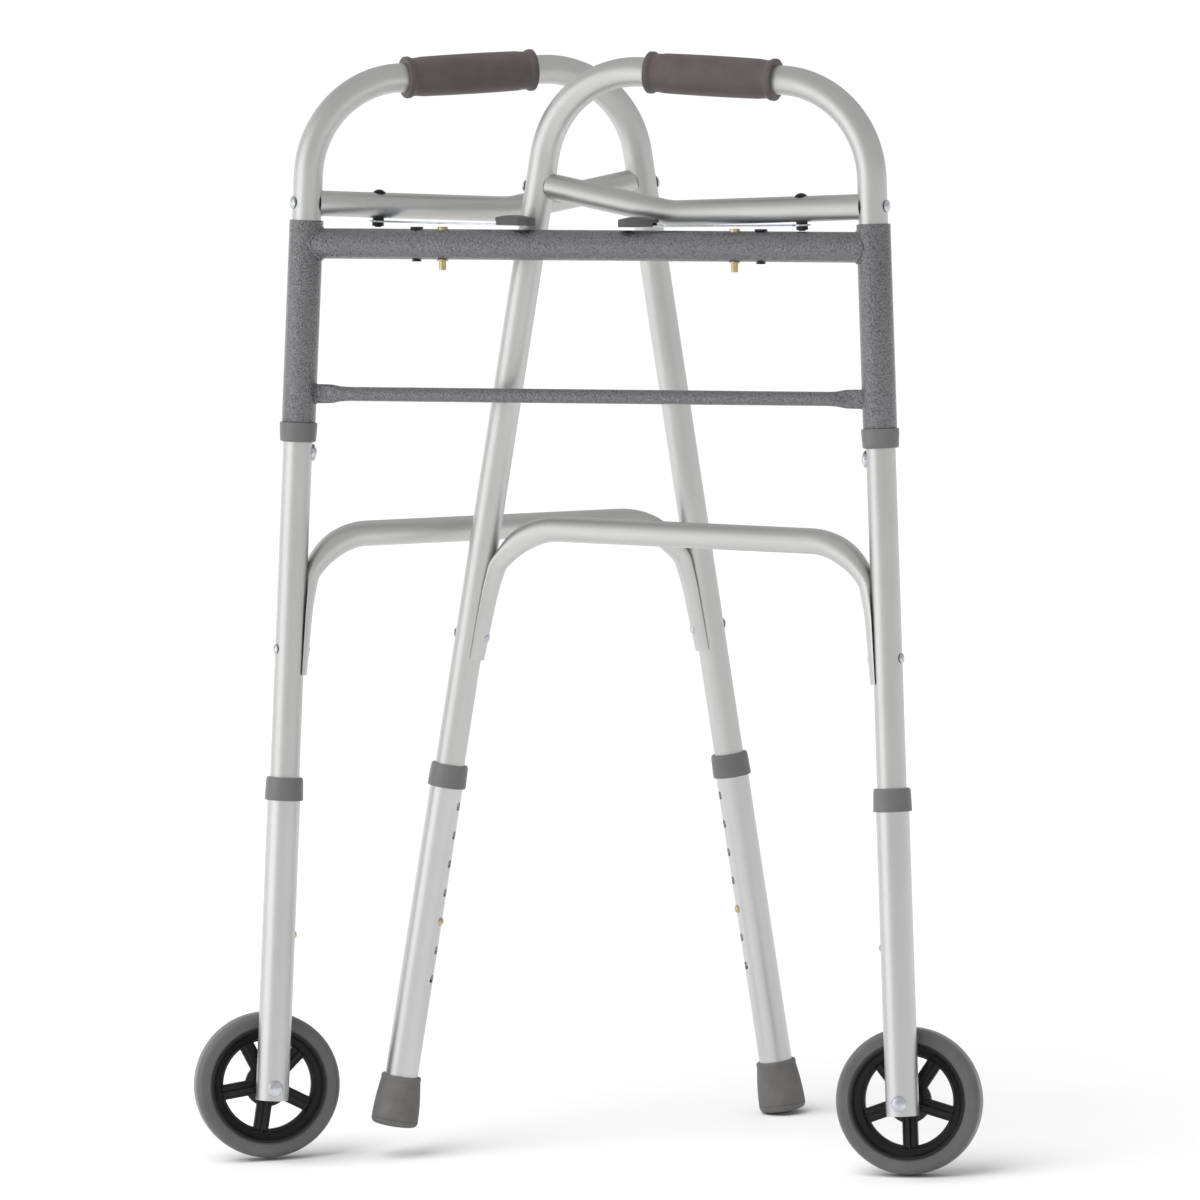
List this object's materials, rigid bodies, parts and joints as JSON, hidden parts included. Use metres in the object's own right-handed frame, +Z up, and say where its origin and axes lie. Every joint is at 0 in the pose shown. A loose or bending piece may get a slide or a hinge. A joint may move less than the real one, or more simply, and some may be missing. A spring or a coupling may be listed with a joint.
{
  "type": "front wheeled folding walker",
  "caption": "Folding walking frame with two front wheels, height-adjustable legs, hand grips, fold lock links and rubber rear tips, shown folded.",
  "frame": {"origin": "centre of the footprint, on the floor", "axes": "+X along the crossbar from the left side to the right side, +Y from the front towards the back, +Z up"},
  "size_m": [0.7034, 0.326, 0.9578],
  "materials": {
    "frame_grey": "hammered grey enamel",
    "aluminium": "satin anodised",
    "grip": "fine textured vinyl",
    "grey_plastic": "satin moulded",
    "tip_rubber": "matte",
    "tyre_rubber": "semi-gloss",
    "hub_black": "satin moulded",
    "zinc": "bright zinc",
    "brass": "bright",
    "dark_steel": "black zinc",
    "paddle_grey": "satin moulded",
    "spring_steel": "bright"
  },
  "bodies": {
    "h_frame": {"crossbar": "frame_grey", "lower_bar": "frame_grey", "pivot_sleeve_left": "frame_grey", "pivot_sleeve_right": "frame_grey", "sleeve_bush_left": "grey_plastic", "sleeve_bush_right": "grey_plastic", "sleeve_ring_left": "grey_plastic", "sleeve_ring_right": "grey_plastic", "guide_rivets": "dark_steel", "pin_springs": "spring_steel"},
    "frame_left": {"side_tube_left": "aluminium", "grip_left": "grip", "upper_brace_left": "aluminium", "lower_brace_left": "aluminium", "brace_screws_left": "zinc", "brace_rivets_left": "zinc", "retaining_screw_left": "zinc", "retaining_washer_left": "zinc", "snap_clips_left": "spring_steel", "link_bolt_left": "zinc"},
    "front_leg_left": {"front_extension_left": "aluminium", "front_collar_left": "grey_plastic", "axle_bolt_left": "zinc", "axle_spacer_left": "zinc", "axle_nut_left": "zinc"},
    "wheel_left": {"wheel_hub_left": "hub_black", "tyre_left": "tyre_rubber"},
    "rear_leg_left": {"rear_extension_left": "aluminium", "rear_collar_left": "grey_plastic", "rubber_tip_left": "tip_rubber"},
    "front_button_left": {"snap_front_left": "brass"},
    "rear_button_left": {"snap_rear_left": "brass"},
    "link_left": {"lock_link_left": "zinc"},
    "paddle_left": {"paddle_left": "paddle_grey"},
    "pin_left": {"lock_pin_left": "brass"},
    "frame_right": {"side_tube_right": "aluminium", "grip_right": "grip", "upper_brace_right": "aluminium", "lower_brace_right": "aluminium", "brace_screws_right": "zinc", "brace_rivets_right": "zinc", "retaining_screw_right": "zinc", "retaining_washer_right": "zinc", "snap_clips_right": "spring_steel", "link_bolt_right": "zinc"},
    "front_leg_right": {"front_extension_right": "aluminium", "front_collar_right": "grey_plastic", "axle_bolt_right": "zinc", "axle_spacer_right": "zinc", "axle_nut_right": "zinc"},
    "wheel_right": {"wheel_hub_right": "hub_black", "tyre_right": "tyre_rubber"},
    "rear_leg_right": {"rear_extension_right": "aluminium", "rear_collar_right": "grey_plastic", "rubber_tip_right": "tip_rubber"},
    "front_button_right": {"snap_front_right": "brass"},
    "rear_button_right": {"snap_rear_right": "brass"},
    "link_right": {"lock_link_right": "zinc"},
    "paddle_right": {"paddle_right": "paddle_grey"},
    "pin_right": {"lock_pin_right": "brass"}
  },
  "joints": [
    {"name": "fold_left", "type": "hinge", "parent": "h_frame", "child": "frame_left", "pos_m": [-0.256, -0.058, 0.79424], "axis": [0.0384, 0.1213, 0.9919], "range_deg": [0, 62]},
    {"name": "front_height_left", "type": "slide", "parent": "frame_left", "child": "front_leg_left", "axis": [-0.0384, -0.1213, -0.9919], "range_m": [-0.0508, 0.1016]},
    {"name": "rear_height_left", "type": "slide", "parent": "frame_left", "child": "rear_leg_left", "axis": [0.1221, 0.0044, -0.9925], "range_m": [-0.0508, 0.1016]},
    {"name": "wheel_spin_left", "type": "hinge", "parent": "front_leg_left", "child": "wheel_left", "pos_m": [-0.29817, -0.12063, 0.06453], "axis": [-0.4691, 0.8786, -0.0893], "continuous": true},
    {"name": "front_button_press_left", "type": "slide", "parent": "frame_left", "child": "front_button_left", "axis": [-0.7874, -0.6074, 0.1047], "range_m": [0, 0.0032], "stiffness_N_per_m": 1500},
    {"name": "rear_button_press_left", "type": "slide", "parent": "frame_left", "child": "rear_button_left", "axis": [0.7789, 0.6194, 0.0986], "range_m": [0, 0.0032], "stiffness_N_per_m": 1500},
    {"name": "link_turn_left", "type": "hinge", "parent": "frame_left", "child": "link_left", "pos_m": [-0.20269, -0.01366, 0.82205], "axis": [0.0384, 0.1213, 0.9919], "range_deg": [-70.5, 0]},
    {"name": "paddle_press_left", "type": "slide", "parent": "link_left", "child": "paddle_left", "axis": [-0.015, -0.1284, -0.9916], "range_m": [0, 0.002], "stiffness_N_per_m": 1500},
    {"name": "lock_pin_press_left", "type": "slide", "parent": "h_frame", "child": "pin_left", "axis": [0, -0.1214, -0.9926], "range_m": [0, 0.005], "stiffness_N_per_m": 900, "deforming": ["pin_springs"]},
    {"name": "fold_right", "type": "hinge", "parent": "h_frame", "child": "frame_right", "pos_m": [0.256, -0.058, 0.79424], "axis": [-0.0384, 0.1213, 0.9919], "range_deg": [-94, 0]},
    {"name": "front_height_right", "type": "slide", "parent": "frame_right", "child": "front_leg_right", "axis": [0.0384, -0.1213, -0.9919], "range_m": [-0.0508, 0.1016]},
    {"name": "rear_height_right", "type": "slide", "parent": "frame_right", "child": "rear_leg_right", "axis": [-0.1639, -0.0987, -0.9815], "range_m": [-0.0508, 0.1016]},
    {"name": "wheel_spin_right", "type": "hinge", "parent": "front_leg_right", "child": "wheel_right", "pos_m": [0.28205, -0.1173, 0.0635], "axis": [-0.0697, 0.9899, -0.1237], "continuous": true},
    {"name": "front_button_press_right", "type": "slide", "parent": "frame_right", "child": "front_button_right", "axis": [0.9938, -0.0991, 0.0506], "range_m": [0, 0.0032], "stiffness_N_per_m": 1500},
    {"name": "rear_button_press_right", "type": "slide", "parent": "frame_right", "child": "rear_button_right", "axis": [-0.9809, 0.1217, 0.1516], "range_m": [0, 0.0032], "stiffness_N_per_m": 1500},
    {"name": "link_turn_right", "type": "hinge", "parent": "frame_right", "child": "link_right", "pos_m": [0.18907, -0.04721, 0.82562], "axis": [-0.0384, 0.1213, 0.9919], "range_deg": [0, 115.5]},
    {"name": "paddle_press_right", "type": "slide", "parent": "link_right", "child": "paddle_right", "axis": [0.014, -0.1231, -0.9923], "range_m": [0, 0.002], "stiffness_N_per_m": 1500},
    {"name": "lock_pin_press_right", "type": "slide", "parent": "h_frame", "child": "pin_right", "axis": [0, -0.1214, -0.9926], "range_m": [0, 0.005], "stiffness_N_per_m": 900, "deforming": ["pin_springs"]}
  ],
  "couplings": [
    {"joint": "fold_right", "follows": "fold_left", "ratio": -1.5161},
    {"joint": "link_turn_left", "follows": "fold_left", "ratio": -1.1371},
    {"joint": "link_turn_right", "follows": "fold_left", "ratio": 1.8629}
  ]
}
